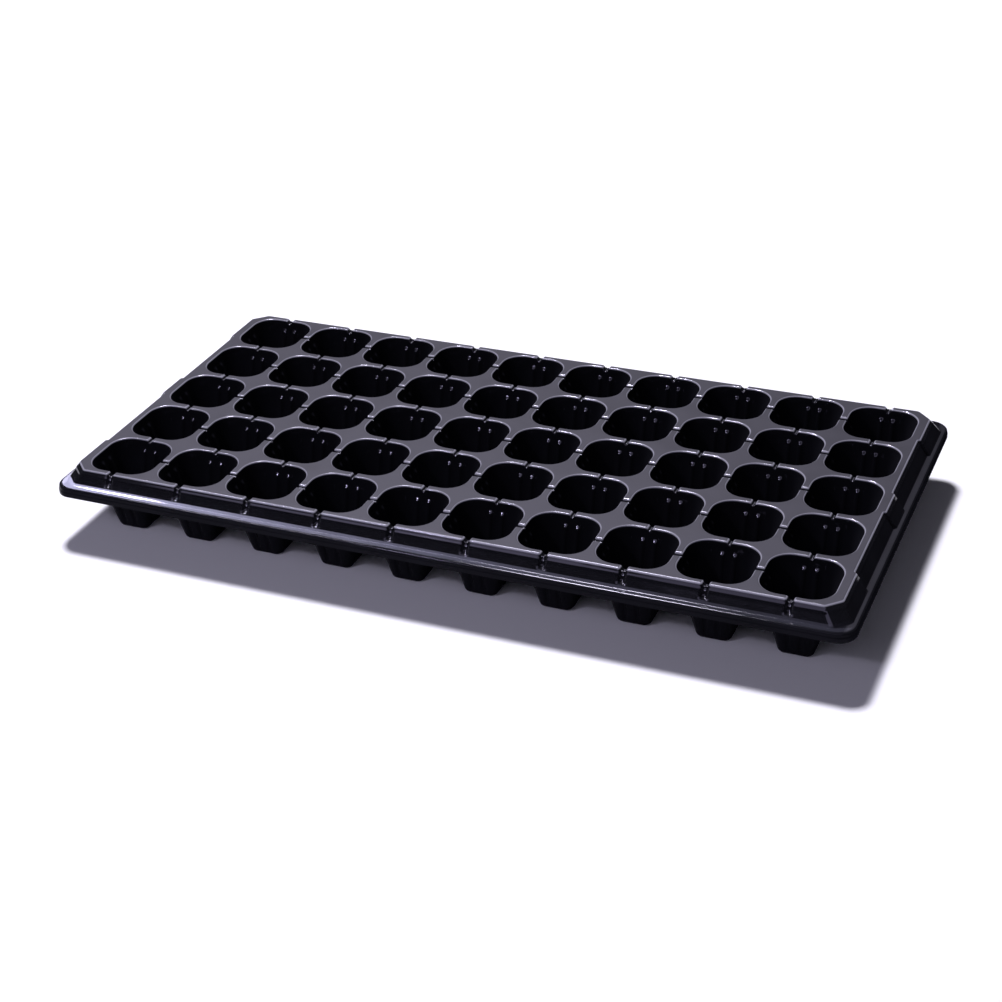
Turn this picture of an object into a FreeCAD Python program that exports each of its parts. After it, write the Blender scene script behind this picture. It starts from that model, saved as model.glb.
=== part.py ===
"""Seedling plug tray: one sheet of polystyrene, vacuum formed into a deck with a grid of tapered cells.

The tray stands on its cells' feet on the plane z = 0, with its long side along X and its middle over
the origin. The formed regions are separate nodes that meet face to face. Each region is made of flat
plates, so that every solid is convex: a cell is a floor and a ring of wall plates, and its corners
are rounded in facets.
"""
import FreeCAD, Part
import math
import os

# Driving dimensions, in millimetres
LENGTH = 540.0          # over the turned-down lip
WIDTH = 280.0
HEIGHT = 50.0           # floor to the top of the deck
SHEET = 0.8             # thickness of the deck, skirt, flange and lip
DRAWN = 0.4             # thickness of a cell's wall and floor, which forming stretches thin

COLUMNS = 10
ROWS = 5
PITCH = 51.0            # cell to cell, both ways

MOUTH = 46.5            # clear width of a cell at the deck
MOUTH_RADIUS = 14.5
FOOT = 21.6             # outside width of a cell at its foot
FOOT_RADIUS = 4.5
DRAIN = 8.0             # width of the drain hole in a cell's floor

DECK_LENGTH = 514.0
DECK_WIDTH = 257.8
DECK_CHAMFER = 8.5      # cut-off corner of the deck, along each side

SKIRT_DROP = 10.8       # top of the deck down to the top of the flange
SKIRT_LENGTH = 529.0    # at the skirt's lower edge
SKIRT_WIDTH = 269.6
SKIRT_CHAMFER = 8.5

FLANGE_RADIUS = 12.0    # outer corner of the flange and the lip
LIP_DROP = 6.2          # top of the flange down to the lip's lower edge

LUG_DEPTH = 1.7         # how far a stacking lug stands out of the short skirt
LUG_SLOPE = 1.5         # length of the lug's slanted flank
MIDDLE_LUG = 26.4       # length of the lug in the middle of a short side
CORNER_LUG_START = 87.0  # distance from the middle of a short side to its corner lugs

CELL_FACETS = 2         # flat facets round each corner of a cell
LIP_FACETS = 3          # flat facets round each corner of the flange and the lip

DECK_UNDERSIDE = HEIGHT - SHEET
WALL_TOP = DECK_UNDERSIDE
FLANGE_TOP = HEIGHT - SKIRT_DROP
FLANGE_UNDERSIDE = FLANGE_TOP - SHEET
LIP_BOTTOM = FLANGE_TOP - LIP_DROP


def raised(outline, z):
    """The points of a plan outline, at the height z."""
    return [FreeCAD.Vector(x, y, z) for x, y in outline]


def flat_face(points):
    return Part.Face(Part.makePolygon(points + points[:1]))


def plate(low_outline, low_z, high_outline, high_z):
    """A convex solid between two plan outlines with the same number of points."""
    low = raised(low_outline, low_z)
    high = raised(high_outline, high_z)
    faces = [flat_face(low), flat_face(high)]
    for i in range(len(low)):
        j = (i + 1) % len(low)
        faces.append(flat_face([low[i], low[j], high[j], high[i]]))
    solid = Part.Solid(Part.Shell(faces))
    if solid.Volume < 0:
        solid.reverse()
    return solid


def slab(outline, low_z, high_z):
    """A plate with upright sides."""
    return plate(outline, low_z, outline, high_z)


def box_outline(x0, y0, x1, y1):
    return [(x0, y0), (x1, y0), (x1, y1), (x0, y1)]


def rounded_outline(half_x, half_y, radius, facets, centre=(0.0, 0.0)):
    """A rectangle whose corners are rounded in flat facets, anticlockwise from the +X side."""
    outline = []
    corners = [(1, 1), (-1, 1), (-1, -1), (1, -1)]
    for quarter, (sign_x, sign_y) in enumerate(corners):
        for step in range(facets + 1):
            angle = math.radians(90.0 * (quarter + step / facets))
            x = sign_x * (half_x - radius) + radius * math.cos(angle)
            y = sign_y * (half_y - radius) + radius * math.sin(angle)
            outline.append((centre[0] + x, centre[1] + y))
    return outline


def chamfered_outline(half_x, half_y, chamfer):
    """A rectangle with its corners cut off at 45 degrees, anticlockwise from the +X side."""
    outline = []
    for sign_x, sign_y in [(1, 1), (-1, 1), (-1, -1), (1, -1)]:
        near_side = (sign_x * half_x, sign_y * (half_y - chamfer))
        near_end = (sign_x * (half_x - chamfer), sign_y * half_y)
        outline += [near_side, near_end] if sign_x == sign_y else [near_end, near_side]
    return outline


def wall_plates(low_inner, low_outer, low_z, high_inner, high_outer, high_z):
    """A ring of wall plates, one over each side of the outlines."""
    plates = []
    for i in range(len(low_inner)):
        j = (i + 1) % len(low_inner)
        low = [low_inner[i], low_outer[i], low_outer[j], low_inner[j]]
        high = [high_inner[i], high_outer[i], high_outer[j], high_inner[j]]
        plates.append(plate(low, low_z, high, high_z))
    return plates


def cell_outline(z, centre, inset=0.0):
    """A cell's outer outline at the height z, or the outline that far inside it."""
    rise = z / WALL_TOP
    half = FOOT / 2 + (MOUTH / 2 + DRAWN - FOOT / 2) * rise - inset
    radius = FOOT_RADIUS + (MOUTH_RADIUS + DRAWN - FOOT_RADIUS) * rise - inset
    return rounded_outline(half, half, radius, CELL_FACETS, centre)


def cell_floor(centre):
    """The floor's four plates, which leave the square drain hole between them."""
    low = cell_outline(0.0, centre)
    high = cell_outline(DRAWN, centre)
    hole = []
    for sign_x, sign_y in [(1, 1), (-1, 1), (-1, -1), (1, -1)]:
        hole.append((centre[0] + sign_x * DRAIN / 2, centre[1] + sign_y * DRAIN / 2))
    per_corner = CELL_FACETS + 1
    plates = []
    for side in range(4):
        # From the middle of one rounded corner to the middle of the next
        start = side * per_corner + CELL_FACETS // 2
        run = [(start + k) % len(low) for k in range(per_corner + 1)]
        rim = [hole[(side + 1) % 4], hole[side]]
        plates.append(plate([low[k] for k in run] + rim, 0.0, [high[k] for k in run] + rim, DRAWN))
    return plates


def cell_walls(centre):
    return wall_plates(
        cell_outline(DRAWN, centre, DRAWN), cell_outline(DRAWN, centre), DRAWN,
        cell_outline(WALL_TOP, centre, DRAWN), cell_outline(WALL_TOP, centre), WALL_TOP)


def cell_centre(row, column):
    """Row 1 is at the front, and column 1 at the left."""
    x = (column - (COLUMNS + 1) / 2) * PITCH
    y = (row - (ROWS + 1) / 2) * PITCH
    return (x, y)


def deck_webs():
    """The straight strips between the rows, and the short webs between the columns."""
    webs = []
    half_x = DECK_LENGTH / 2
    half_y = DECK_WIDTH / 2
    for row in range(ROWS + 1):
        y0 = -half_y if row == 0 else cell_centre(row, 1)[1] + MOUTH / 2
        y1 = half_y if row == ROWS else cell_centre(row + 1, 1)[1] - MOUTH / 2
        webs.append(box_outline(-half_x, y0, half_x, y1))
    for row in range(1, ROWS + 1):
        y = cell_centre(row, 1)[1]
        for column in range(COLUMNS + 1):
            x0 = -half_x if column == 0 else cell_centre(row, column)[0] + MOUTH / 2
            x1 = half_x if column == COLUMNS else cell_centre(row, column + 1)[0] - MOUTH / 2
            webs.append(box_outline(x0, y - MOUTH / 2, x1, y + MOUTH / 2))
    return [slab(web, DECK_UNDERSIDE, HEIGHT) for web in webs]


def mouth_gussets(centre):
    """The deck's flat triangles in the rounded corners of one mouth."""
    mouth = rounded_outline(MOUTH / 2, MOUTH / 2, MOUTH_RADIUS, CELL_FACETS, centre)
    gussets = []
    for quarter, (sign_x, sign_y) in enumerate([(1, 1), (-1, 1), (-1, -1), (1, -1)]):
        corner = (centre[0] + sign_x * MOUTH / 2, centre[1] + sign_y * MOUTH / 2)
        first = quarter * (CELL_FACETS + 1)
        for step in range(CELL_FACETS):
            triangle = [corner, mouth[first + step + 1], mouth[first + step]]
            gussets.append(slab(triangle, DECK_UNDERSIDE, HEIGHT))
    return gussets


def deck():
    """The flat top, cut to its chamfered outline."""
    outline = chamfered_outline(DECK_LENGTH / 2, DECK_WIDTH / 2, DECK_CHAMFER)
    blank = slab(outline, DECK_UNDERSIDE, HEIGHT)
    pieces = deck_webs()
    for row in range(1, ROWS + 1):
        for column in range(1, COLUMNS + 1):
            pieces += mouth_gussets(cell_centre(row, column))
    # Only the pieces at the four corners reach past the outline
    reach = DECK_LENGTH / 2 + DECK_WIDTH / 2 - DECK_CHAMFER
    trimmed = []
    for piece in pieces:
        box = piece.BoundBox
        furthest = max(abs(box.XMin), abs(box.XMax)) + max(abs(box.YMin), abs(box.YMax))
        trimmed += piece.common(blank).Solids if furthest > reach else [piece]
    return trimmed


def skirt_plates():
    """The sloping skirt, in the order right back corner, back, left back corner, and so on anticlockwise."""
    low = chamfered_outline(SKIRT_LENGTH / 2, SKIRT_WIDTH / 2, SKIRT_CHAMFER)
    high = chamfered_outline(DECK_LENGTH / 2, DECK_WIDTH / 2, DECK_CHAMFER)
    return wall_plates(inset_outline(low), low, FLANGE_TOP, inset_outline(high), high, DECK_UNDERSIDE)


def inset_outline(outline):
    """The chamfered outline one sheet thickness inside the given one."""
    half_x = max(x for x, y in outline)
    half_y = max(y for x, y in outline)
    chamfer = half_y - max(y for x, y in outline if x == half_x)
    # Keeps the 45 degree sides the same thickness as the straight ones
    inner_chamfer = chamfer - SHEET * (2 - math.sqrt(2))
    return chamfered_outline(half_x - SHEET, half_y - SHEET, inner_chamfer)


def flange():
    """The flat ledge from the skirt out to the lip: four strips and four rounded corner plates."""
    inner = inset_outline(chamfered_outline(SKIRT_LENGTH / 2, SKIRT_WIDTH / 2, SKIRT_CHAMFER))
    rim_x = LENGTH / 2 - SHEET
    rim_y = WIDTH / 2 - SHEET
    outer = rounded_outline(rim_x, rim_y, FLANGE_RADIUS - SHEET, LIP_FACETS)
    x_end = max(x for x, y in inner)
    y_end = max(y for x, y in inner)
    x_run = max(x for x, y in inner if y == y_end)
    y_run = max(y for x, y in inner if x == x_end)
    plates = []
    for side in (-1, 1):
        plates.append(box_outline(side * x_end, -side * y_run, side * rim_x, side * y_run))
        plates.append(box_outline(side * x_run, side * y_end, -side * x_run, side * rim_y))
    per_corner = LIP_FACETS + 1
    for quarter, (sign_x, sign_y) in enumerate([(1, 1), (-1, 1), (-1, -1), (1, -1)]):
        arc = outer[quarter * per_corner:(quarter + 1) * per_corner]
        side_inner = (sign_x * x_end, sign_y * y_run)
        side_outer = (sign_x * rim_x, sign_y * y_run)
        end_inner = (sign_x * x_run, sign_y * y_end)
        end_outer = (sign_x * x_run, sign_y * rim_y)
        if sign_x == sign_y:
            plates.append([side_inner, side_outer] + arc + [end_outer, end_inner])
        else:
            plates.append([end_inner, end_outer] + arc + [side_outer, side_inner])
    return [slab(outline, FLANGE_UNDERSIDE, FLANGE_TOP) for outline in plates]


def lip():
    """The edge turned down all round the flange, whose outer edge it covers."""
    outer = rounded_outline(LENGTH / 2, WIDTH / 2, FLANGE_RADIUS, LIP_FACETS)
    inner = rounded_outline(LENGTH / 2 - SHEET, WIDTH / 2 - SHEET, FLANGE_RADIUS - SHEET, LIP_FACETS)
    return wall_plates(inner, outer, LIP_BOTTOM, inner, outer, FLANGE_TOP)


def lug_outline(face_x, y0, y1, slope0, slope1):
    """A lug against the skirt's face, with its two flanks slanted as stated."""
    side = math.copysign(1.0, face_x)
    crest_x = face_x + side * LUG_DEPTH
    return [(face_x, y0), (crest_x, y0 + slope0), (crest_x, y1 - slope1), (face_x, y1)]


def stacking_lugs():
    """Low pads on the two short skirts, which keep nested trays from jamming."""
    foot_end = SKIRT_WIDTH / 2 - SKIRT_CHAMFER
    deck_end = DECK_WIDTH / 2 - DECK_CHAMFER
    lugs = []
    for side in (-1, 1):
        low_x = side * SKIRT_LENGTH / 2
        high_x = side * DECK_LENGTH / 2
        half = MIDDLE_LUG / 2
        low = lug_outline(low_x, -half, half, LUG_SLOPE, LUG_SLOPE)
        high = lug_outline(high_x, -half, half, LUG_SLOPE, LUG_SLOPE)
        lugs.append(plate(low, FLANGE_TOP, high, DECK_UNDERSIDE))
        start = CORNER_LUG_START
        low = lug_outline(low_x, start, foot_end, LUG_SLOPE, 0.0)
        high = lug_outline(high_x, start, deck_end, LUG_SLOPE, 0.0)
        lugs.append(plate(low, FLANGE_TOP, high, DECK_UNDERSIDE))
        low = lug_outline(low_x, -foot_end, -start, 0.0, LUG_SLOPE)
        high = lug_outline(high_x, -deck_end, -start, 0.0, LUG_SLOPE)
        lugs.append(plate(low, FLANGE_TOP, high, DECK_UNDERSIDE))
    return lugs


def save(node, solids):
    shape = solids[0] if len(solids) == 1 else Part.makeCompound(solids)
    shape.exportStep("parts/" + node + ".step")


def main():
    os.makedirs("parts", exist_ok=True)
    for row in range(1, ROWS + 1):
        for column in range(1, COLUMNS + 1):
            centre = cell_centre(row, column)
            node = "cell_r%d_c%02d" % (row, column)
            save(node, cell_floor(centre) + cell_walls(centre))
    save("deck", deck())
    corner_1, back, corner_2, left, corner_3, front, corner_4, right = skirt_plates()
    save("skirt_right", [right])
    save("skirt_back", [back])
    save("skirt_left", [left])
    save("skirt_front", [front])
    save("skirt_corners", [corner_1, corner_2, corner_3, corner_4])
    save("flange", flange())
    save("lip", lip())
    save("stacking_lugs", stacking_lugs())


main()
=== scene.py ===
"""Seedling plug tray, dressed for the camera.

The tray is one sheet of polystyrene, vacuum formed. Its surface is modelled in millimetres as patches of
the sheet, which are scaled to metres when a piece is finished. The pieces meet edge to edge, on
stretches where the sheet is flat or straight.
"""
import math

import bmesh
import bpy
from mathutils import Matrix, Vector


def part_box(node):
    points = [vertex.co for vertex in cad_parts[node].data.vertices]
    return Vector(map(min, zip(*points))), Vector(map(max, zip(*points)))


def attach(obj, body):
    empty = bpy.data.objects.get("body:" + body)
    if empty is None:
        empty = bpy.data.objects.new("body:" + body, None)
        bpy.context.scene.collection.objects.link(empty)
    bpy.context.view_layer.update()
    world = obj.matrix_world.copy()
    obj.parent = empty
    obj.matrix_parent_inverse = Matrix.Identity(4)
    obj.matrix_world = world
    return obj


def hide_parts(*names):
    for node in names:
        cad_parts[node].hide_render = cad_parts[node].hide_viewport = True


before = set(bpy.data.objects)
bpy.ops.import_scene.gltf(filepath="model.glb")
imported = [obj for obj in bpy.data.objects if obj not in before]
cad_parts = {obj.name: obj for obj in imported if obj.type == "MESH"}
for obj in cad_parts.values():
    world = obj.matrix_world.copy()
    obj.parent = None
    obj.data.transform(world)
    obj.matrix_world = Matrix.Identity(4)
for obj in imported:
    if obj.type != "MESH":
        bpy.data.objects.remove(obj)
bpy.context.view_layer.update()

MM = 0.001


def extent(node):
    """Lowest and highest corners of a CAD node, in millimetres."""
    low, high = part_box(node)
    return low / MM, high / MM


# Sizes that the frame gives, in millimetres
deck_low, deck_high = extent("deck")
lip_low, lip_high = extent("lip")
flange_top = extent("flange")[1].z
skirt_foot_y = extent("skirt_back")[1].y
skirt_foot_x = extent("skirt_right")[1].x
lug_foot_x = extent("stacking_lugs")[1].x
cell_low, cell_high = extent("cell_r1_c01")
PITCH = extent("cell_r1_c02")[0].x - cell_low.x
COLUMNS = 10
ROWS = 5
DECK_TOP = deck_high.z
SHEET = deck_high.z - deck_low.z
LUG_DEPTH = lug_foot_x - skirt_foot_x
DECK_X = deck_high.x + LUG_DEPTH        # edge of the deck over a stacking lug
DECK_Y = deck_high.y
DROP = DECK_TOP - flange_top            # deck to flange
RUN_X = lug_foot_x - DECK_X             # how far the skirt slopes out
RUN_Y = skirt_foot_y - DECK_Y

# Cell
DRAWN = 0.4                            # thickness of the drawn wall
FLOOR = DRAWN                           # height of the floor's upper face
FOOT_HALF = 10.4                        # inside, at the floor
FOOT_RADIUS = 4.1
MOUTH_HALF = (cell_high.x - cell_low.x) / 2 - 0.73
MOUTH_RADIUS = 14.2
RIM = 0.9                               # rounding between deck and wall
FLOOR_FILLET = 3.0
DRAIN_RADIUS = 4.2
WEB_NOTCH = (1.9, 2.3)                  # depth and half width of the notch across a web
EDGE_NOTCH = (2.8, 3.0)                 # and of the one that cuts the deck's long edge
RIB_DEPTH = 1.1                         # two ribs on each wall
RIB_FROM_MIDDLE = 4.0
RIB_HALF = 1.9
RIB_TOP = 44.2
RIB_ROUNDING = 3.0
RIB_CREST = 0.7                         # half width of its flat crest
RIB_BOTTOM = 3.0
FINE = 5.9                              # closely spaced stretch in the middle of a side
FINE_STEPS = 20
ARC_STEPS = 10
SEAM_DEPTH = 1.1                        # the wall that belongs to the deck
NOTCH_FLOOR = 0.15                      # share of a notch's half width that is flat
NOTCH_FADES_AT = 43.4                   # height at which a notch no longer bends the cell's wall
RIB_RUN_IN = 4.0                        # over which a rib rises from the foot
FLAT = 0.25                             # flat margin beside a rounding
ROUND_STEPS = 4                         # facets of a small rounding
MERGE = 0.002

# Skirt, flange and lip
EDGE = 1.2                              # rounding of the deck's edge
FOOT_FILLET = 0.8
RIM_ROUND = 1.5                         # rounding between flange and lip
BEAD_DEPTH = 0.15
BEAD_HEIGHT = 46.9
BEAD_HALF = 1.3
GROOVE_DEPTH = 2.1
GROOVE_END = 41.8
GROOVE_ROUNDING = 1.0
LIP_STEP_HEIGHT = 36.2
LIP_STEP = 0.35
LUG_FLANK = 1.6
LUG_MIDDLE = 13.2
LUG_CORNER = 87.0
DECK_CHAMFER = 9.3
DECK_CORNER_ROUND = 3.0
FOOT_CHAMFER = 9.3
FOOT_CORNER_ROUND = 5.0
RIM_CHAMFER = 7.03
RIM_CORNER_ROUND = 11.4
SKIRT_NOTCH_FADES_AT = 41.2             # height at which a groove's notch no longer bends the skirt
CORNER_MARGIN = 1.9                     # of deck left to the border inside its chamfer

WALL_SLOPE = (MOUTH_HALF - FOOT_HALF) / (DECK_TOP - RIM - FLOOR)
DRAFT = math.atan(WALL_SLOPE)
TAN_22 = math.tan(math.radians(22.5))


def lerp(a, b, t):
    return a + (b - a) * t


def evenly(first, last, count):
    """A list of evenly spaced values."""
    return [lerp(first, last, step / (count - 1)) for step in range(count)]


def eased(value, low, high):
    """0 at low, 1 at high, and a smooth S between them."""
    t = min(max((value - low) / (high - low), 0.0), 1.0)
    return t * t * (3 - 2 * t)


def bump(distance, half_width):
    """1 in the middle of a rounded bump and 0 beyond its half width."""
    if abs(distance) >= half_width:
        return 0.0
    return math.cos(math.pi * distance / half_width / 2) ** 2


def notch(along, shape):
    """How deep the notch is, at that distance from the middle of a web. A plain web has no shape."""
    if shape is None:
        return 0.0
    depth, half = shape
    return depth * (1 - eased(abs(along), NOTCH_FLOOR * half, half))


# ---------------------------------------------------------------- sheet patches

def patch(bm, columns, rows, place):
    """Adds a sheet of quads and puts each of its points where place(column, row) says."""
    made = bmesh.ops.create_grid(bm, x_segments=columns - 1, y_segments=rows - 1, size=1.0)
    for vert in made["verts"]:
        column = round((vert.co.x + 1) / 2 * (columns - 1))
        row = round((vert.co.y + 1) / 2 * (rows - 1))
        vert.co = place(column, row)


def upright(bm):
    """Merges doubles, and turns the sheet so that its faces look up and out."""
    bmesh.ops.remove_doubles(bm, verts=bm.verts, dist=MERGE)
    bmesh.ops.recalc_face_normals(bm, faces=bm.faces)
    if sum(face.normal.z * face.calc_area() for face in bm.faces) < 0:
        bmesh.ops.reverse_faces(bm, faces=bm.faces)


def mesh_of(name, bm):
    """Makes the sheet a mesh. Its free edges are sharp, so that its cut rim doesn't bend the shading."""
    upright(bm)
    for edge in bm.edges:
        edge.smooth = not edge.is_boundary
    bmesh.ops.scale(bm, vec=(MM, MM, MM), verts=bm.verts)
    mesh = bpy.data.meshes.new(name)
    bm.to_mesh(mesh)
    bm.free()
    for polygon in mesh.polygons:
        polygon.use_smooth = True
    return mesh


def formed(name, mesh, nodes, thickness, material):
    """A finished piece of the sheet, which takes the place of its CAD nodes."""
    piece = bpy.data.objects.new(name, mesh)
    bpy.context.scene.collection.objects.link(piece)
    tray_pieces.objects.link(piece)
    mesh.materials.append(material)
    solid = piece.modifiers.new("sheet thickness", "SOLIDIFY")
    solid.thickness = thickness * MM
    solid.offset = -1.0
    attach(piece, "root")
    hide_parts(*nodes)
    return piece


# ---------------------------------------------------------------- cells and deck

def around(half, radius):
    """Points of a rounded square, anticlockwise from the +X side, each with its side and its
    distance from that side's middle."""
    reach = half - radius
    points = []
    for side in range(4):
        turn = Matrix.Rotation(math.radians(90 * side), 2)
        run = [-reach] + [FINE * (2 * i / FINE_STEPS - 1) for i in range(FINE_STEPS + 1)] + [reach]
        for along in run:
            points.append((turn @ Vector((half, along)), side, along))
        for step in range(1, ARC_STEPS):
            angle = math.radians(90 * step / ARC_STEPS)
            corner = Vector((reach + radius * math.cos(angle), reach + radius * math.sin(angle)))
            points.append((turn @ corner, side, half))
    return points


def tile_edge():
    """The points of a square one pitch wide, which the mouth's points lead out to."""
    half = PITCH / 2
    reach = MOUTH_HALF - MOUTH_RADIUS
    points = []
    for point, side, along in around(MOUTH_HALF, MOUTH_RADIUS):
        turn = Matrix.Rotation(math.radians(90 * side), 2)
        local = turn.inverted() @ point
        if along < half and local.x > MOUTH_HALF - 1e-6:
            points.append((turn @ Vector((half, along)), side, along))
            continue
        across = Vector((local.x - reach, local.y - reach))
        across *= (half - reach) / max(across)
        points.append((turn @ Vector((reach + across.x, reach + across.y)), side, half))
    return points


def wall_half(z):
    return FOOT_HALF + WALL_SLOPE * (z - FLOOR)


def wall_radius(z):
    return lerp(FOOT_RADIUS, MOUTH_RADIUS, (z - FLOOR) / (DECK_TOP - RIM - FLOOR))


def rim_rows():
    """(half width, height) of the deck's rings, from the flat in to the top of the wall."""
    centre_z = DECK_TOP - RIM
    centre = wall_half(centre_z) + RIM / math.cos(DRAFT)
    rows = [(centre + FLAT, DECK_TOP)]
    for angle in evenly(0.0, math.pi / 2 - DRAFT, ROUND_STEPS):
        rows.append((centre - RIM * math.sin(angle), centre_z + RIM * math.cos(angle)))
    rows.append((wall_half(centre_z - SEAM_DEPTH), centre_z - SEAM_DEPTH))
    return rows


def deck_tile(bm, centre, notches):
    """The deck round one mouth, with the notch shapes of its four sides."""
    rings = []
    for half, z in rim_rows():
        top = DECK_TOP - RIM
        rings.append((around(half, wall_radius(top) + half - wall_half(top)), z))
    edge = tile_edge()

    def place(column, row):
        index = column % len(edge)
        if row == 0:
            point, side, along = edge[index]
            z = DECK_TOP
            dip = notch(along, notches[side])
            return Vector((centre[0] + point.x, centre[1] + point.y, z - dip))
        (point, side, along), z = rings[row - 1][0][index], rings[row - 1][1]
        dip = notch(along, notches[side])
        inward = Matrix.Rotation(math.radians(90 * side), 2) @ Vector((-WALL_SLOPE * dip, 0))
        return Vector((centre[0] + point.x + inward.x, centre[1] + point.y + inward.y, z - dip))

    patch(bm, len(edge) + 1, len(rings) + 1, place)


def cell_centre(row, column):
    return ((column - (COLUMNS + 1) / 2) * PITCH, (row - (ROWS + 1) / 2) * PITCH)


def notches_of(row, column):
    """The notch shapes on a cell's +X, +Y, -X and -Y sides. The tray's short sides have none."""
    return (None if column == COLUMNS else WEB_NOTCH, EDGE_NOTCH if row == ROWS else WEB_NOTCH,
            None if column == 1 else WEB_NOTCH, EDGE_NOTCH if row == 1 else WEB_NOTCH)


def deck_sheet():
    bm = bmesh.new()
    for row in range(1, ROWS + 1):
        for column in range(1, COLUMNS + 1):
            deck_tile(bm, cell_centre(row, column), notches_of(row, column))
    bmesh.ops.remove_doubles(bm, verts=bm.verts, dist=MERGE)
    for sign_x in (-1, 1):
        for sign_y in (-1, 1):
            corner = Vector((sign_x * START_X, sign_y * (START_Y - START_CHAMFER), DECK_TOP))
            bmesh.ops.bisect_plane(bm, geom=bm.verts[:] + bm.edges[:] + bm.faces[:], dist=0.001,
                                   plane_co=corner, plane_no=(sign_x, sign_y, 0), clear_outer=True)
    return mesh_of("deck_sheet", bm)


def cell_heights():
    """(half width, height) of a cell's rings, from the deck's wall down to the floor's fillet."""
    top = DECK_TOP - RIM - SEAM_DEPTH
    over_the_ribs = evenly(44.4, 40.8, 10)
    heights = [top, 47.1, 46.3, 45.6, 45.0] + over_the_ribs + [38.0, 31.0, 23.0, 15.0, 9.0, 6.0, 5.0, 4.2]
    rows = [(wall_half(z), z) for z in heights]
    centre_z = FLOOR + FLOOR_FILLET
    centre = wall_half(centre_z) - FLOOR_FILLET / math.cos(DRAFT)
    for angle in evenly(DRAFT, math.pi / 2, ROUND_STEPS + 1):
        rows.append((centre + FLOOR_FILLET * math.cos(angle), centre_z - FLOOR_FILLET * math.sin(angle)))
    return rows


def cell_sheet(notches):
    """One cell's wall and floor about the origin, below a mouth with those notches."""
    rows = cell_heights()
    top = rows[0][1]
    rings = []
    for half, z in rows:
        inset = wall_half(z) - half
        rings.append((around(half, wall_radius(z) - inset), z))
    drain_rows = [(0.5, FLOOR), (1.0, FLOOR)]

    def place(column, row):
        index = column % len(rings[0][0])
        if row < len(rings):
            (point, side, along), z = rings[row][0][index], rings[row][1]
            dip = notch(along, notches[side])
            sink = dip * min(max((z - NOTCH_FADES_AT) / (top - NOTCH_FADES_AT), 0.0), 1.0)
            low = z - sink
            rib = RIB_DEPTH * (1 - eased(abs(abs(along) - RIB_FROM_MIDDLE), RIB_CREST, RIB_HALF))
            rib *= 1 - eased(low, RIB_TOP - RIB_ROUNDING, RIB_TOP)
            rib *= eased(low, RIB_BOTTOM, RIB_BOTTOM + RIB_RUN_IN)
            inward = Matrix.Rotation(math.radians(90 * side), 2) @ Vector((-WALL_SLOPE * sink - rib, 0))
            return Vector((point.x + inward.x, point.y + inward.y, low))
        share, z = drain_rows[row - len(rings)]
        point = rings[-1][0][index][0]
        drain = point.normalized() * DRAIN_RADIUS
        spot = point.lerp(drain, share)
        return Vector((spot.x, spot.y, z))

    bm = bmesh.new()
    patch(bm, len(rings[0][0]) + 1, len(rings) + len(drain_rows), place)
    return mesh_of("cell_sheet", bm)


# ---------------------------------------------------------------- skirt, flange and lip

START_X = COLUMNS * PITCH / 2           # where the cells' tiles end and the border begins
START_Y = ROWS * PITCH / 2
START_CHAMFER = START_X + START_Y - (DECK_X + DECK_Y - DECK_CHAMFER - CORNER_MARGIN)
HOLD_X = 236.0                          # beyond these the stations spread out to the corners
HOLD_Y = 96.0


def edge_profile(run, rim, start):
    """(distance out from the deck's edge, height) of the sheet's rows, from the deck out and down
    to the lip's lower edge. run is how far the skirt slopes out and rim how far the lip is."""
    lean = math.atan2(DROP, run)
    direction = Vector((math.cos(lean), -math.sin(lean)))
    tangent = EDGE * math.tan(lean / 2)
    rows = [(-start, DECK_TOP), (-tangent - 0.2, DECK_TOP)]
    for angle in evenly(0.0, lean, ROUND_STEPS + 1):
        rows.append((-tangent + EDGE * math.sin(angle), DECK_TOP - EDGE * (1 - math.cos(angle))))
    over_the_bead = evenly(48.4, 45.9, 6)
    over_the_groove_ends = evenly(43.0, 40.9, 8)
    for z in over_the_bead + [45.3, 44.4, 43.6] + over_the_groove_ends:
        bead = BEAD_DEPTH * bump(z - BEAD_HEIGHT, BEAD_HALF)
        rows.append(((DECK_TOP - z) * run / DROP + bead * math.sin(lean), z + bead * math.cos(lean)))
    seam = len(rows) - 1
    tangent = FOOT_FILLET * math.tan(lean / 2)
    rows.append((run - (tangent + 0.2) * direction.x, flange_top - (tangent + 0.2) * direction.y))
    for angle in evenly(lean, 0.0, ROUND_STEPS + 1):
        rows.append((run + tangent - FOOT_FILLET * math.sin(angle),
                     flange_top + FOOT_FILLET * (1 - math.cos(angle))))
    rows.append((run + tangent + 0.2, flange_top))
    rows.append((rim - LIP_STEP - RIM_ROUND - FLAT, flange_top))
    rim_seam = len(rows) - 1
    for angle in evenly(0.0, math.pi / 2, ROUND_STEPS + 1):
        rows.append((rim - LIP_STEP - RIM_ROUND + RIM_ROUND * math.sin(angle),
                     flange_top - RIM_ROUND * (1 - math.cos(angle))))
    for z in (37.2, 36.9, 36.6, 36.2, 35.8, 35.5, 34.0, lip_low.z):
        out = rim - LIP_STEP * (1 - eased(z, LIP_STEP_HEIGHT + 0.5, LIP_STEP_HEIGHT - 0.5))
        rows.append((out, z))
    return rows, seam, rim_seam


PROFILE_Y, SEAM, RIM_SEAM = edge_profile(RUN_Y, lip_high.y - DECK_Y, DECK_Y - START_Y)
PROFILE_X = edge_profile(RUN_X, lip_high.x - DECK_X, DECK_X - START_X)[0]
LAST_ROW = len(PROFILE_Y) - 1


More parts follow.
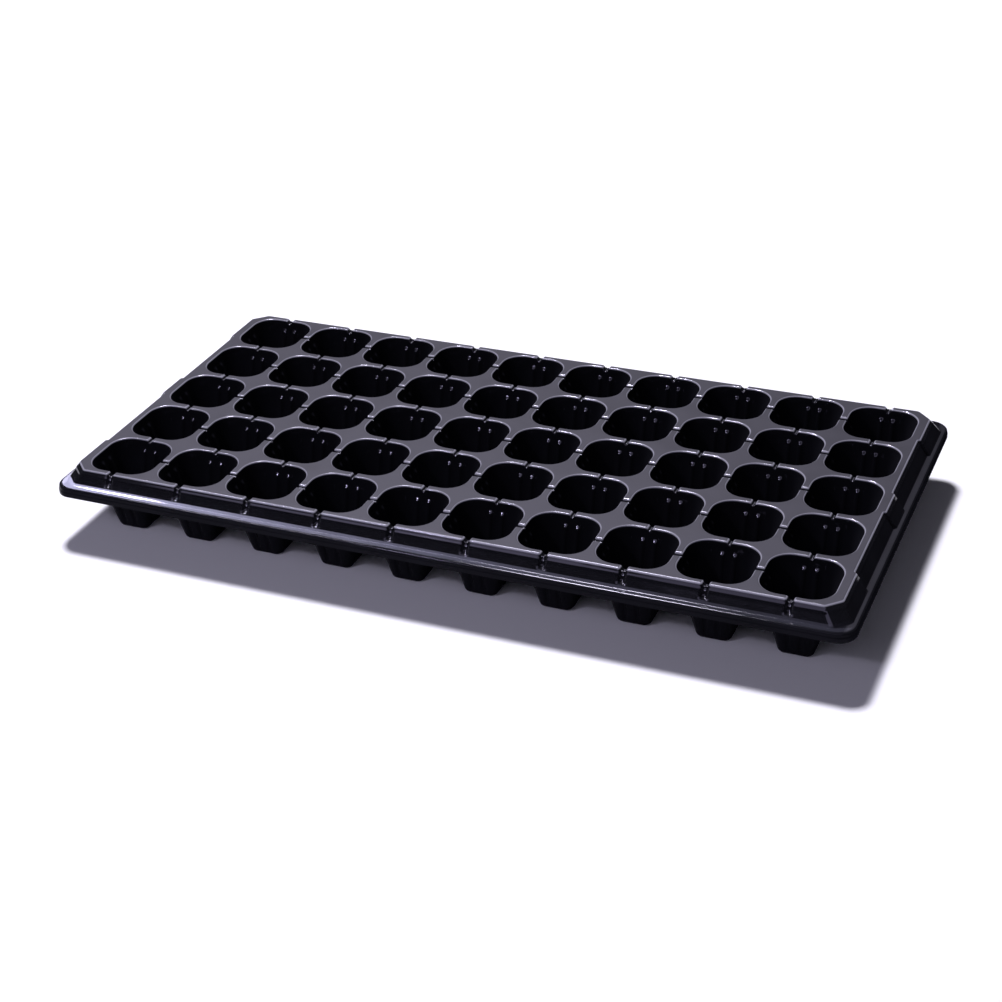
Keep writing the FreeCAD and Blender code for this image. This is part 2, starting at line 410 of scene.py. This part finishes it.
def corner_shape(row):
    """(chamfer, rounding) of the corner at that row of the profile."""
    if row == 0:
        return START_CHAMFER, 0.0
    if row <= SEAM:
        share = (row - 1) / (SEAM - 1)
        return (lerp(DECK_CHAMFER, FOOT_CHAMFER, share),
                lerp(DECK_CORNER_ROUND, FOOT_CORNER_ROUND, share))
    out = PROFILE_Y[row][0]
    first, last = PROFILE_Y[SEAM][0], PROFILE_Y[RIM_SEAM][0]
    share = min((out - first) / (last - first), 1.0)
    return lerp(FOOT_CHAMFER, RIM_CHAMFER, share), lerp(FOOT_CORNER_ROUND, RIM_CORNER_ROUND, share)


def half_sizes(row):
    return DECK_X + PROFILE_X[row][0], DECK_Y + PROFILE_Y[row][0]


def straight_ends(row):
    """Where the straight long and short sides end, at that row."""
    half_x, half_y = half_sizes(row)
    chamfer, rounding = corner_shape(row)
    cut = chamfer + TAN_22 * rounding
    return half_x - cut, half_y - cut


def spread(station, row, hold, which):
    """The station's place along its side. Beyond the hold, it follows the corner outwards."""
    if abs(station) <= hold:
        return station
    first, here = straight_ends(0)[which], straight_ends(row)[which]
    reach = hold + (abs(station) - hold) * (here - hold) / (first - hold)
    return math.copysign(reach, station)


def long_stations():
    end = straight_ends(0)[0]
    stations = [-end]
    for column in range(1, COLUMNS + 1):
        middle = cell_centre(1, column)[0]
        stations += [middle + FINE * (2 * i / FINE_STEPS - 1) for i in range(FINE_STEPS + 1)]
        if column < COLUMNS:
            stations.append(middle + PITCH / 2)
    return stations + [end]


def short_stations():
    end = straight_ends(0)[1]
    half = [0.0, 6.0]
    half += [LUG_MIDDLE - LUG_FLANK * (1 - i / 6) for i in range(7)]
    half += [LUG_MIDDLE + 2, 30.0, 50.0, 70.0, LUG_CORNER - 2]
    half += [LUG_CORNER + LUG_FLANK * i / 6 for i in range(7)]
    half += [95.0, 105.0, end]
    return [-y for y in reversed(half[1:])] + half


def recess(y):
    """How far the short side lies behind its lugs."""
    inside = eased(abs(y), LUG_MIDDLE - LUG_FLANK, LUG_MIDDLE)
    return LUG_DEPTH * (inside - eased(abs(y), LUG_CORNER, LUG_CORNER + LUG_FLANK))


def long_point(row, x, sign):
    """A point of the sheet on the front or back side."""
    out, z = PROFILE_Y[row]
    along = (x / PITCH) % 1.0 * PITCH - PITCH / 2
    dip = notch(along, EDGE_NOTCH) * min(
        max((z - SKIRT_NOTCH_FADES_AT) / (DECK_TOP - SKIRT_NOTCH_FADES_AT), 0.0), 1.0)
    if row > 0 and row <= SEAM:
        groove = GROOVE_DEPTH * notch(along, EDGE_NOTCH) / EDGE_NOTCH[0]
        groove *= eased(z - dip, GROOVE_END - GROOVE_ROUNDING / 2, GROOVE_END + GROOVE_ROUNDING)
        groove *= eased(row, 0, 5)
        out += dip * RUN_Y / DROP - groove
    z -= dip
    place_x = spread(x, row, HOLD_X, 0)
    return Vector((place_x, sign * (DECK_Y + out), z))


def short_point(row, y, sign):
    """A point of the sheet on the left or right side."""
    out, z = PROFILE_X[row]
    if row == 0 or row > RIM_SEAM:
        back = 0.0
    else:
        back = recess(y) * (1 - eased(row, RIM_SEAM - 2, RIM_SEAM))
    return Vector((sign * (DECK_X + out - back), spread(y, row, HOLD_Y, 1), z))


CORNER_ARC = 5
CORNER_STRAIGHT = 3
CORNER_STATIONS = 2 * CORNER_ARC + CORNER_STRAIGHT + 1


def corner_point(row, station, sign_x, sign_y):
    """A point of the sheet round a corner, from the long side (station 0) to the short side."""
    half_x, half_y = half_sizes(row)
    chamfer, rounding = corner_shape(row)
    cut = TAN_22 * rounding
    if station <= CORNER_ARC:
        angle = math.radians(45 * station / CORNER_ARC)
        x = half_x - chamfer - cut + rounding * math.sin(angle)
        y = half_y - rounding * (1 - math.cos(angle))
    elif station >= CORNER_ARC + CORNER_STRAIGHT:
        angle = math.radians(45 * (CORNER_STATIONS - 1 - station) / CORNER_ARC)
        x = half_x - rounding * (1 - math.cos(angle))
        y = half_y - chamfer - cut + rounding * math.sin(angle)
    else:
        share = (station - CORNER_ARC) / CORNER_STRAIGHT
        run = math.sin(math.radians(45)) * rounding
        start = Vector((half_x - chamfer - cut + run, half_y - rounding + run))
        end = Vector((half_x - rounding + run, half_y - chamfer - cut + run))
        x, y = start.lerp(end, share)
    z = lerp(PROFILE_Y[row][1], PROFILE_X[row][1], station / (CORNER_STATIONS - 1))
    return Vector((sign_x * x, sign_y * y, z))


def long_side(bm, sign, first, last):
    stations = long_stations()
    patch(bm, len(stations), last - first + 1,
          lambda column, row: long_point(first + row, stations[column], sign))


def short_side(bm, sign, first, last, low=-1e9, high=1e9):
    stations = [y for y in short_stations() if low - 1e-6 <= y <= high + 1e-6]
    patch(bm, len(stations), last - first + 1,
          lambda column, row: short_point(first + row, stations[column], sign))


def corners(bm, first, last):
    for sign_x in (-1, 1):
        for sign_y in (-1, 1):
            patch(bm, CORNER_STATIONS, last - first + 1,
                  lambda column, row: corner_point(first + row, column, sign_x, sign_y))


def skirt_long(sign):
    bm = bmesh.new()
    long_side(bm, sign, 0, SEAM)
    return mesh_of("skirt_long", bm)


def skirt_short(sign):
    """The recessed stretches between the lugs."""
    bm = bmesh.new()
    for low, high in ((-LUG_CORNER + 2, -LUG_MIDDLE - 2), (LUG_MIDDLE + 2, LUG_CORNER - 2)):
        short_side(bm, sign, 0, SEAM, low, high)
    return mesh_of("skirt_short", bm)


def lugs():
    bm = bmesh.new()
    for sign in (-1, 1):
        short_side(bm, sign, 0, SEAM, -LUG_MIDDLE - 2, LUG_MIDDLE + 2)
        short_side(bm, sign, 0, SEAM, LUG_CORNER - 2)
        short_side(bm, sign, 0, SEAM, high=-LUG_CORNER + 2)
    return mesh_of("stacking_lugs", bm)


def skirt_corners():
    bm = bmesh.new()
    corners(bm, 0, SEAM)
    return mesh_of("skirt_corners", bm)


def ring(name, first, last):
    bm = bmesh.new()
    for sign in (-1, 1):
        long_side(bm, sign, first, last)
        short_side(bm, sign, first, last)
    corners(bm, first, last)
    return mesh_of(name, bm)


# ---------------------------------------------------------------- materials

def linear(hex_colour):
    """An sRGB hex colour as linear red, green, blue and alpha."""
    channels = [int(hex_colour[i:i + 2], 16) / 255 for i in (1, 3, 5)]
    return [c / 12.92 if c <= 0.04045 else ((c + 0.055) / 1.055) ** 2.4 for c in channels] + [1.0]


def add_node(tree, kind, links=None, **settings):
    """Adds a node. A setting is a property, or by its name with spaces an input's value."""
    made = tree.nodes.new(kind)
    for key, value in settings.items():
        if hasattr(made, key):
            setattr(made, key, value)
        else:
            made.inputs[key.replace("_", " ")].default_value = value
    for key, source in (links or {}).items():
        tree.links.new(source, made.inputs[key])
    return made


def skin_bumps(tree, place):
    """Slow waves and a fine orange peel, which break up the highlights."""
    waves = add_node(tree, "ShaderNodeTexNoise", {"Vector": place}, Scale=1 / (14 * MM), Detail=1.0)
    peel = add_node(tree, "ShaderNodeTexNoise", {"Vector": place}, Scale=1 / (1.1 * MM), Detail=2.0)
    slow = add_node(tree, "ShaderNodeBump", {"Height": waves.outputs["Fac"]},
                    Strength=0.5, Distance=0.12 * MM)
    fine = add_node(tree, "ShaderNodeBump",
                    {"Height": peel.outputs["Fac"], "Normal": slow.outputs["Normal"]},
                    Strength=0.35, Distance=0.02 * MM)
    return fine.outputs["Normal"]


def skin_roughness(tree, patchy, facing, height, outwards):
    """Satin on the deck and on the short sides' ledges, where the sheet is hardly stretched, and
    glossy everywhere else."""
    level = add_node(tree, "ShaderNodeMapRange", {"Value": facing.outputs["Z"]},
                     From_Min=0.93, From_Max=0.99)
    upper = add_node(tree, "ShaderNodeMapRange", {"Value": height},
                     From_Min=44 * MM, From_Max=46 * MM)
    ends = add_node(tree, "ShaderNodeMapRange", {"Value": outwards},
                    From_Min=262 * MM, From_Max=265 * MM)
    flat = add_node(tree, "ShaderNodeMath", {0: upper.outputs["Result"], 1: ends.outputs["Result"]},
                    operation="MAXIMUM")
    undrawn = add_node(tree, "ShaderNodeMath", {0: level.outputs["Result"], 1: flat.outputs["Value"]},
                       operation="MULTIPLY")
    satin = add_node(tree, "ShaderNodeMapRange", {"Value": patchy},
                     From_Min=0.3, From_Max=0.7, To_Min=0.50, To_Max=0.58)
    glossy = add_node(tree, "ShaderNodeMapRange", {"Value": patchy},
                      From_Min=0.3, From_Max=0.7, To_Min=0.06, To_Max=0.10)
    rough = add_node(tree, "ShaderNodeMix",
                     {"Factor": undrawn.outputs["Value"], "A": glossy.outputs["Result"],
                      "B": satin.outputs["Result"]}, data_type="FLOAT")
    return rough.outputs["Result"]


def skin_colour(tree, patchy, facing, height):
    """Nearly black, with a painted highlight: a pale line painted where the deck bends over each rim and
    over its edge, in place of the bright line that lamps draw there.
    """
    tone = add_node(tree, "ShaderNodeValToRGB", {"Fac": patchy})
    tone.color_ramp.elements[0].color = linear("#101013")
    tone.color_ramp.elements[1].color = linear("#18181d")
    # Painted highlight: bent skin near the deck's height gets a pale colour painted in as a highlight line
    bent = add_node(tree, "ShaderNodeMapRange", {"Value": facing.outputs["Z"]},
                    From_Min=0.985, From_Max=0.90)
    edges = add_node(tree, "ShaderNodeMapRange", {"Value": height},
                     From_Min=48.9 * MM, From_Max=49.5 * MM, To_Max=0.9)
    painted_rim_highlight = add_node(tree, "ShaderNodeMath", {0: bent.outputs["Result"], 1: edges.outputs["Result"]},
                        operation="MULTIPLY")
    # sockets 6 and 7 are the colour mix's A and B, and output 2 is its result
    colour = add_node(tree, "ShaderNodeMix", {"Factor": painted_rim_highlight.outputs["Value"], 6: tone.outputs["Color"]},
                      data_type="RGBA")
    # The pale colour of the painted rim highlight
    colour.inputs[7].default_value = linear("#95949f")
    return colour.outputs[2]


def skin_mirroring(tree, facing, height):
    """How much the skin mirrors. Steep faces, the short skirts and the ledge and lip mirror the pale
    floor less than plastic does, and stay black beside it."""
    steep = add_node(tree, "ShaderNodeMapRange", {"Value": facing.outputs["Z"]},
                     From_Min=0.30, From_Max=0.52, To_Min=0.06, To_Max=0.5)
    sideways = add_node(tree, "ShaderNodeMath", {0: facing.outputs["X"]}, operation="ABSOLUTE")
    short_skirts = add_node(tree, "ShaderNodeMapRange", {"Value": sideways.outputs["Value"]},
                            From_Min=0.60, From_Max=0.80, To_Min=1.0, To_Max=0.0)
    ledge_and_lip = add_node(tree, "ShaderNodeMapRange", {"Value": height},
                             From_Min=39.8 * MM, From_Max=40.8 * MM, To_Min=0.3, To_Max=1.0)
    dulled = add_node(tree, "ShaderNodeMath",
                      {0: short_skirts.outputs["Result"], 1: ledge_and_lip.outputs["Result"]},
                      operation="MULTIPLY")
    mirroring = add_node(tree, "ShaderNodeMath", {0: steep.outputs["Result"], 1: dulled.outputs["Value"]},
                         operation="MULTIPLY")
    return mirroring.outputs["Value"]


def formed_polystyrene():
    """Black high-impact polystyrene, vacuum formed. Level and hardly stretched skin is satin and
    spreads the lamps' light into a grey sheen. Drawn walls and roundings are glossy and almost black."""
    material = bpy.data.materials.new("vacuum_formed_black_polystyrene")
    material.use_nodes = True
    tree = material.node_tree
    tree.nodes.clear()
    coords = add_node(tree, "ShaderNodeTexCoord")
    place = coords.outputs["Object"]
    facing = add_node(tree, "ShaderNodeSeparateXYZ", {"Vector": coords.outputs["Normal"]})
    where = add_node(tree, "ShaderNodeSeparateXYZ", {"Vector": place})
    height = where.outputs["Z"]
    outwards = add_node(tree, "ShaderNodeMath", {0: where.outputs["X"]}, operation="ABSOLUTE")
    noise = add_node(tree, "ShaderNodeTexNoise", {"Vector": place}, Scale=1 / (22 * MM), Detail=3.0)
    patchy = noise.outputs["Fac"]
    shader = add_node(tree, "ShaderNodeBsdfPrincipled",
                      {"Base Color": skin_colour(tree, patchy, facing, height),
                       "Roughness": skin_roughness(tree, patchy, facing, height, outwards.outputs["Value"]),
                       "Specular IOR Level": skin_mirroring(tree, facing, height),
                       "Normal": skin_bumps(tree, place)}, IOR=1.59)
    shader.inputs["Specular Tint"].default_value = linear("#f0ecff")
    add_node(tree, "ShaderNodeOutputMaterial", {"Surface": shader.outputs["BSDF"]})
    return material


# ---------------------------------------------------------------- pieces

polystyrene = formed_polystyrene()
tray_pieces = bpy.data.collections.new("tray_pieces")
ledge_only = bpy.data.collections.new("ledge_only")

formed("deck_sheet", deck_sheet(), ["deck"], SHEET, polystyrene)
cups = {}
for row in range(1, ROWS + 1):
    for column in range(1, COLUMNS + 1):
        node = "cell_r%d_c%02d" % (row, column)
        notches = notches_of(row, column)
        if notches not in cups:
            cups[notches] = cell_sheet(notches)
        x, y = cell_centre(row, column)
        cup = cups[notches].copy()
        cup.transform(Matrix.Translation((x * MM, y * MM, 0)))
        formed("cup" + node[4:], cup, [node], DRAWN, polystyrene)
formed("front_skirt", skirt_long(-1), ["skirt_front"], SHEET, polystyrene)
formed("back_skirt", skirt_long(1), ["skirt_back"], SHEET, polystyrene)
formed("left_skirt", skirt_short(-1), ["skirt_left"], SHEET, polystyrene)
formed("right_skirt", skirt_short(1), ["skirt_right"], SHEET, polystyrene)
formed("corner_skirts", skirt_corners(), ["skirt_corners"], SHEET, polystyrene)
formed("lug_skirts", lugs(), ["stacking_lugs"], SHEET, polystyrene)
ledge = formed("ledge", ring("ledge", SEAM, RIM_SEAM), ["flange"], SHEET, polystyrene)
ledge_only.objects.link(ledge)
formed("turned_lip", ring("turned_lip", RIM_SEAM, LAST_ROW), ["lip"], SHEET, polystyrene)


# ---------------------------------------------------------------- studio

def aimed(obj, target):
    obj.rotation_mode = "QUATERNION"
    obj.rotation_quaternion = (Vector(target) - obj.location).to_track_quat("-Z", "Y")


def softbox(name, place, size, watts, colour="#ffffff", target=(0, 0, 0.03)):
    light = bpy.data.lights.new(name, "AREA")
    light.shape = "RECTANGLE"
    light.size, light.size_y = size
    light.energy = watts
    light.color = linear(colour)[:3]
    lamp = bpy.data.objects.new(name, light)
    bpy.context.scene.collection.objects.link(lamp)
    lamp.location = place
    aimed(lamp, target)
    return lamp


def floor():
    """Pale backdrop paper, 12 m square."""
    bm = bmesh.new()
    bmesh.ops.create_grid(bm, x_segments=1, y_segments=1, size=6.0)
    mesh = bpy.data.meshes.new("studio_floor")
    bm.to_mesh(mesh)
    bm.free()
    ground = bpy.data.objects.new("studio_floor", mesh)
    bpy.context.scene.collection.objects.link(ground)
    paper = bpy.data.materials.new("matt_backdrop_paper")
    paper.use_nodes = True
    shader = paper.node_tree.nodes["Principled BSDF"]
    shader.inputs["Base Color"].default_value = linear("#f4f4f6")
    shader.inputs["Roughness"].default_value = 0.9
    shader.inputs["Specular IOR Level"].default_value = 0.1
    mesh.materials.append(paper)


def camera():
    """Looks down at the tray from the front right, with a long lens."""
    azimuth, elevation, roll = math.radians(23.43), math.radians(29.70), math.radians(-2.17)
    distance, side_step, up_step = 1.3247, 0.003895, 0.04097
    back = Vector((math.sin(azimuth) * math.cos(elevation), -math.cos(azimuth) * math.cos(elevation),
                   math.sin(elevation)))
    right = (-back).cross(Vector((0, 0, 1))).normalized()
    up = right.cross(-back)
    turned_right = right * math.cos(roll) + up * math.sin(roll)
    turned_up = up * math.cos(roll) - right * math.sin(roll)
    data = bpy.data.cameras.new("camera")
    data.sensor_width = 36.0
    data.lens = 71.04
    data.clip_start, data.clip_end = 0.05, 30.0
    cam = bpy.data.objects.new("camera", data)
    bpy.context.scene.collection.objects.link(cam)
    place = Vector((0, 0, DECK_TOP * MM)) + back * distance - turned_right * side_step - turned_up * up_step
    turn = Matrix((turned_right, turned_up, back)).transposed().to_4x4()
    cam.matrix_world = Matrix.Translation(place) @ turn
    bpy.context.scene.camera = cam


floor()
camera()
softbox("back_key", (-1.044, 1.36, 3.61), (0.6, 0.6), 225, "#f6f4ff")
softbox("front_left_lamp", (-0.53, -1.09, 0.875), (0.09, 0.09), 2.5, "#e7e2ff")
softbox("front_left_fill", (-0.53, -1.09, 0.875), (0.6, 0.6), 1.4, "#e7e2ff")
softbox("front_right_fill", (0.40, -1.15, 0.875), (1.5, 0.5), 2.2, "#e7e2ff")
# The strip lights the tray but not the floor, and the card lights only the ledge
strip = softbox("left_strip", (-1.912, 0.20, 3.508), (0.16, 0.64), 34, "#f3f1ff")
strip.light_linking.receiver_collection = tray_pieces
card = softbox("ledge_card", (-0.36, -0.24, 0.23), (0.06, 0.06), 60, "#f3f1ff", (-0.24, -0.137, 0.039))
card.light_linking.receiver_collection = ledge_only
card.visible_camera = False
world = bpy.data.worlds.new("studio")
world.use_nodes = True
world.node_tree.nodes["Background"].inputs["Color"].default_value = linear("#f0f2fa")
world.node_tree.nodes["Background"].inputs["Strength"].default_value = 0.02
bpy.context.scene.world = world
bpy.context.scene.view_settings.view_transform = "Standard"
